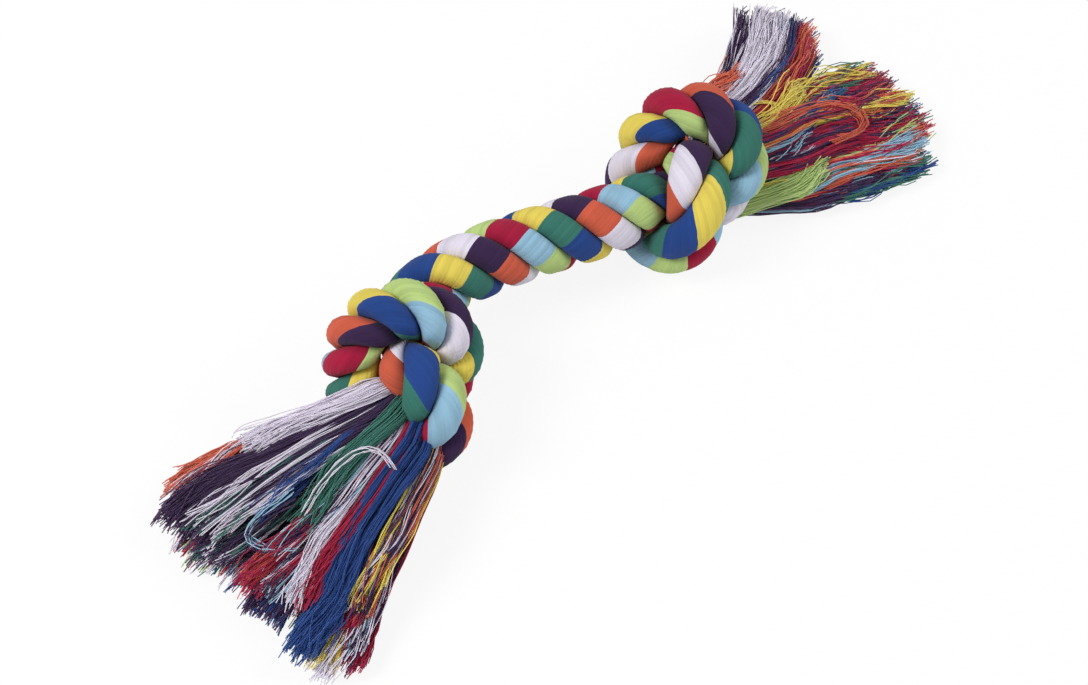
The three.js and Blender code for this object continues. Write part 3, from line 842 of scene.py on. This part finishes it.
def lock_lines(place, lock, chance):
    """Points of every yarn of a lock, from inside the knot to the cut, and the number of its bundle."""
    _, count, sides, half, length, high = lock
    count = round(count * FULLNESS)
    bundles = math.ceil(count / BUNDLE_YARNS)
    bundle = np.arange(count) // BUNDLE_YARNS
    ragged = for_bundles(chance.normal(0, BUNDLE_RAGGED, bundles), bundle)
    ragged = ragged + chance.normal(0, YARN_RAGGED, count)[:, None]
    way = np.linspace(0, 1, YARN_POINTS)[None, :] ** POINT_CROWDING
    ahead = YARN_START + (length + ragged - YARN_START) * way
    shares = (chance.permutation(bundles) + chance.random(bundles)) / bundles
    place_in_lock = for_bundles(2 * shares - 1, bundle)
    level = np.interp(ahead, (LEAVING, length), high)
    level = level + LEVEL_JITTER * for_bundles(chance.uniform(-1, 1, bundles), bundle)

    # Inside the knot the yarns fill the rope's section
    across = LOCK_SHARE * sides[0] / WIDEST_LEAVING + YARN_SHARE * place_in_lock * min(half / HALF_LEAVING, 1)
    across = np.clip(across, -MOST_ACROSS, MOST_ACROSS)
    filled = ROPE_FILL * np.interp(ahead, (YARN_START, IN_ROPE), (START_FILL, 1))
    in_rope_side = filled * across
    in_rope_height = filled * np.clip(2 * level - 1, -1, 1) * np.sqrt(1 - across**2)

    # Outside it they fan out under a dome that falls towards the floor
    stations = (LEAVING, JUST_OUT, HALFWAY, max(length, HALFWAY + 1))
    spread = half * np.interp(ahead, (LEAVING, OPEN_AT), (min(HALF_LEAVING / half, 1), OPEN_WIDTH))
    over_side = np.interp(ahead, stations, sides) + spread * place_in_lock
    beside = over_side / np.interp(ahead, FAN_PLACES, FAN_HALVES)
    dome = np.sqrt(np.maximum(1 - DOME_FALL * beside**2, DOME_LEAST))
    over_height = level * dome * np.interp(ahead, TOP_PLACES, TOP_HEIGHTS)
    out = smoothstep(ahead, IN_ROPE, LEAVING)
    side = smoothed((in_rope_side * (1 - out) + over_side * out).T, EASE_ROUNDS).T
    side, lift = combed(way, ahead, side, bundle, chance)
    return laid_lines(place, ahead, side, (in_rope_height, over_height), lift), bundle


def laid_lines(place, ahead, side, heights, lift):
    """The yarns' points: along the rope's own line inside the knot, and over the floor outside it."""
    inward = 1 if place["end"] == 0 else -1
    samples = place["end"] + inward * np.round(np.maximum(-ahead, 0) / SAMPLE_STEP).astype(int)
    inside = line[samples] + ROPE_OFFSET
    inside[..., 2] += heights[0]
    outside = place["root"] + ahead[..., None] * place["heading"]
    outside[..., 2] = heights[1]
    out = smoothstep(ahead, IN_ROPE, LEAVING)[..., None]
    points = inside * (1 - out) + outside * out + side[..., None] * place["left"]
    points[..., 2] = np.maximum(points[..., 2] + lift, YARN_RADIUS)
    return points


yarn_total = sum(round(lock[1] * FULLNESS) for rows in LOCKS.values() for lock in rows)
print(yarn_total, "yarns in all the locks, with", YARN_POINTS, "points each")

# %% [markdown]
# ## Curls
# A few yarns have sprung out of their locks and lie on top in a loop. Each is drawn with a few
# points, given as for the locks: ahead of the rope's end, to the left of the middle, and over the floor.

# %% Yarns that sprang out
CURLS = {
    "left": [
        ("white", 5, "-2,14,33 -4,11,33 -5,6,33 -2,2,33 5,-1,31 12,-3,27 20,-3,24"),
        ("light_blue", 5, "17,-10,25 26,-15,21 32,-17,18 34,-15,16 33,-9,16 29,-2,18"),
        ("purple", 5, "19,-7,24 27,-13,21 33,-16,17 35,-13,15 33,-7,16 25,-1,21"),
    ],
    "right": [
        ("orange", 6, "-5,-11,29 10,-8,27 24,-8,20 35,-11,16 38,-15,15 35,-22,15 18,-23,21"),
        ("orange", 6, "-5,-12,29 15,-9,25 29,-9,19 36,-16,15 35,-21,15 29,-22,16 22,-21,20"),
        ("yellow", 6, "-7,-1,29 1,-1,30 8,-2,26 10,-5,27 7,-7,27 3,-6,28"),
    ],
}
CURL_POINTS = 60
CURL_ROUNDS = 30
CURL_SPREAD = 0.7
CURL_FLATNESS = (1, 1, 0.5)
CURL_FRIZZ = 0.12


def curl_lines(place, count, stations, chance):
    """Points of the yarns of one curl, each a little beside the drawn line."""
    spots = np.array([spot.split(",") for spot in stations.split()], dtype=float)
    drawn = spaced(smoothed(spaced(spots, CURL_POINTS), CURL_ROUNDS), YARN_POINTS)
    beside = chance.normal(0, CURL_SPREAD, (count, 3)) * CURL_FLATNESS
    points = drawn[None] + beside[:, None] + chance.normal(0, CURL_FRIZZ, (count, YARN_POINTS, 3))
    flat = points[..., :1] * place["heading"] + points[..., 1:2] * place["left"] + place["root"]
    flat[..., 2] = points[..., 2]
    return flat


print("curls:", {name: len(rows) for name, rows in CURLS.items()})

# %% [markdown]
# ## From a line to a yarn
# A round curve bevel would give each yarn a dozen sides, far more than a yarn of a third of a
# millimetre shows. Three sides with smooth shading are enough, and they keep the count of faces low.
# The UV map holds the yarn's number and the length along it, so that the material can change from yarn
# to yarn.

# %% A thin tube round every line
YARN_SIDES = 3
LOOSE_FIBRE_SCALE = 0.1
YARN_MARGIN = 0.1
LEAST_HEIGHT = 0.02
TINY = 1e-9


def yarn_tubes(lines):
    """Rings round the yarns' lines, and their pattern: the yarn's number and the length along it."""
    heading = np.gradient(lines, axis=1)
    heading /= np.linalg.norm(heading, axis=2)[..., None]
    beside = np.cross(heading, (0, 0, 1.0))
    beside /= np.linalg.norm(beside, axis=2)[..., None] + TINY
    above = np.cross(beside, heading)
    turn = np.linspace(0, 2 * math.pi, YARN_SIDES + 1)[:, None]
    around = np.cos(turn) * beside[:, :, None] + np.sin(turn) * above[:, :, None]
    rings = lines[:, :, None] + YARN_RADIUS * around
    rings[..., 2] = np.maximum(rings[..., 2], LEAST_HEIGHT)
    rings[:, :, -1] = rings[:, :, 0]
    pattern = np.empty((*rings.shape[:3], 2))
    # A margin keeps the number's whole part the same all round the yarn
    numbers = np.arange(len(lines))[:, None, None] + YARN_MARGIN
    pattern[..., 0] = numbers + (1 - 2 * YARN_MARGIN) * np.linspace(0, 1, YARN_SIDES + 1)
    steps = np.linalg.norm(np.diff(lines, axis=1), axis=2)
    pattern[:, 0, :, 1] = 0
    pattern[:, 1:, :, 1] = LOOSE_FIBRE_SCALE * np.cumsum(steps, axis=1)[..., None]
    return rings, pattern


# %% [markdown]
# ## Loose cotton
# Loose yarn is softer than laid yarn. Light goes into it and comes out again close by, which a little
# subsurface scattering gives, and its fibres wind round it. Its colour is painted lighter than its dye,
# to make up for the shade that falls between the yarns.

# %% The material of loose yarn
LOOSE_COTTON = COTTON | {
    "Diffuse Roughness": 1,
    "Subsurface Weight": 0.35,
    "Subsurface Scale": 0.0008,
    "Subsurface Radius": (1, 1, 1),
    "Sheen Weight": 0.08,
}
FIBRES_AROUND = 3
FIBRE_TWIST = 6
LOOSE_FIBRE_DETAIL = 2
# Above one: loose yarn is painted lighter than its dye against the shade between yarns; the spread is each
# yarn's own tone
LOOSE_YARN_TONES_AND_PAINTED_LIGHT = (1.02, 1.32)
LOOSE_FIBRE_SHADES = (0.88, 1.14)
LOOSE_BUMP = (0.3, 0.0001)


def loose_cotton(dye):
    """One dye, painted lighter overall to make up for the shade between the yarns, and a little lighter or
    darker from yarn to yarn, with soft fibres along each.
    """
    material, tree, shader = new_material(f"yarn_{dye}_cotton", LOOSE_COTTON)
    yarn, length = pattern_of(tree)
    around = maths(tree, "MULTIPLY", yarn, FIBRES_AROUND)
    twist = maths(tree, "ADD", around, maths(tree, "MULTIPLY", length, FIBRE_TWIST))
    fibres = fibre_noise(tree, twist, length, LOOSE_FIBRE_DETAIL)
    shade = yarn_shade(tree, yarn, LOOSE_YARN_TONES_AND_PAINTED_LIGHT, fibres, LOOSE_FIBRE_SHADES)
    tree.links.new(dyed(tree, linear(dye), shade), shader.inputs["Base Color"])
    raise_surface(tree, shader, fibres, *LOOSE_BUMP)
    return material


cottons = {dye: loose_cotton(dye) for dye in DYES}
print("yarn materials:", len(cottons))

# %% [markdown]
# ## Combing out
# All the yarns of one dye in one tassel become one piece.

# %% Comb out both tassels
SEEDS = {"left": 7, "right": 11}
for name, place in places.items():
    chance = np.random.default_rng(SEEDS[name])
    lines_of = {dye: [] for dye in DYES}
    for lock in LOCKS[name]:
        dyes = lock[0].split()
        lines, bundle = lock_lines(place, lock, chance)
        for turn, dye in enumerate(dyes):
            lines_of[dye].append(lines[bundle % len(dyes) == turn])
    for dye, count, stations in CURLS[name]:
        lines_of[dye].append(curl_lines(place, count, stations, chance))
    for dye in DYES:
        rings, pattern = yarn_tubes(np.concatenate(lines_of[dye]))
        piece = wrapped_tubes(f"{name}_tassel_{dye}_yarns", rings, pattern, cottons[dye])
        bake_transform(piece)
        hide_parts(f"{name}_tassel_{dye}")
        print(piece.name, len(rings), "yarns")

# %% [markdown]
# ## Floor and light
# The photograph shows the toy on plain white in soft light. A large lamp high on the left and a paler
# one on the right give the strands their roundness, and an even sky fills the grooves. The floor is
# white paper: it takes the toy's shadow, and where the camera sees it, it is lifted towards pure white.

# %% Floor
FLOOR_SIZE = 3
PAPER = {"Base Color": (0.92, 0.92, 0.92, 1), "Roughness": 1, "Specular IOR Level": 0}
PAPER_LIFT = 0.88


def add_floor():
    """White paper that takes the shadow and looks white to the camera."""
    bm = bmesh.new()
    bmesh.ops.create_grid(bm, x_segments=1, y_segments=1, size=FLOOR_SIZE)
    mesh = bpy.data.meshes.new("floor")
    bm.to_mesh(mesh)
    bm.free()
    floor = bpy.data.objects.new("floor", mesh)
    bpy.context.collection.objects.link(floor)
    material, tree, shader = new_material("white_paper", PAPER)
    glow = tree.nodes.new("ShaderNodeEmission")
    glow.inputs["Strength"].default_value = 1
    rays = tree.nodes.new("ShaderNodeLightPath")
    seen = rays.outputs["Is Camera Ray"]
    for kind in ("Is Glossy Ray", "Is Transmission Ray"):
        seen = maths(tree, "MAXIMUM", seen, rays.outputs[kind])
    mix = tree.nodes.new("ShaderNodeMixShader")
    tree.links.new(maths(tree, "MULTIPLY", seen, PAPER_LIFT), mix.inputs[0])
    tree.links.new(shader.outputs[0], mix.inputs[1])
    tree.links.new(glow.outputs[0], mix.inputs[2])
    tree.links.new(mix.outputs[0], tree.nodes["Material Output"].inputs["Surface"])
    mesh.materials.append(material)


add_floor()
print("floor laid, lifted by", PAPER_LIFT, "where it is seen")

# %% Lamps and sky
LAMPS = {"key_lamp": ((-0.75, 0.35, 1.1), 0.6, 11.5), "fill_lamp": ((0.9, -0.5, 0.8), 0.9, 6)}
SKY_STRENGTH = 0.43


def add_lamp(name, place, size, watts):
    """A round lamp that faces the toy."""
    data = bpy.data.lights.new(name, "AREA")
    data.shape = "DISK"
    data.size = size
    data.energy = watts
    lamp = bpy.data.objects.new(name, data)
    lamp.location = place
    lamp.rotation_euler = Vector(place).to_track_quat("Z", "Y").to_euler()
    bpy.context.collection.objects.link(lamp)
    print(name, watts, "W")


for name, (place, size, watts) in LAMPS.items():
    add_lamp(name, place, size, watts)
world = bpy.data.worlds.new("studio")
world.use_nodes = True
world.node_tree.nodes["Background"].inputs["Color"].default_value = (1, 1, 1, 1)
world.node_tree.nodes["Background"].inputs["Strength"].default_value = SKY_STRENGTH
bpy.context.scene.world = world
bpy.context.scene.view_settings.view_transform = "Standard"
